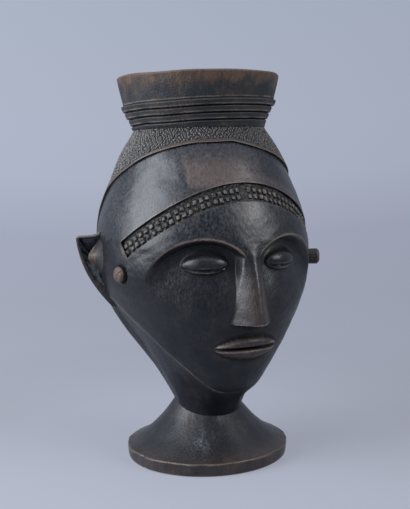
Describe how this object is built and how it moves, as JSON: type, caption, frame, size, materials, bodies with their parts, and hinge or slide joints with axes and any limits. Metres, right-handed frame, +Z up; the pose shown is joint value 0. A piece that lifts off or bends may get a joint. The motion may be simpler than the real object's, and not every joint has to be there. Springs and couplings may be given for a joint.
{
  "type": "palm wine cup",
  "caption": "Wooden palm wine cup carved as a head on a flared foot, hollowed down from a ringed collar, with a wooden peg let into each temple.",
  "frame": {"origin": "centre of the foot's flat underside", "axes": "+Z up through the foot, head and rim; the face looks along -Y; +X is the head's own left"},
  "size_m": [0.1326, 0.1296, 0.2],
  "materials": {
    "black_wood": "blackened, oiled and handled hardwood with a satin sheen and brown worn edges",
    "peg_wood": "whittled hardwood with bare, rubbed end grain"
  },
  "bodies": {
    "root": {"cup_body": "black_wood", "right_temple_peg": "peg_wood", "left_temple_peg": "peg_wood"}
  },
  "joints": []
}
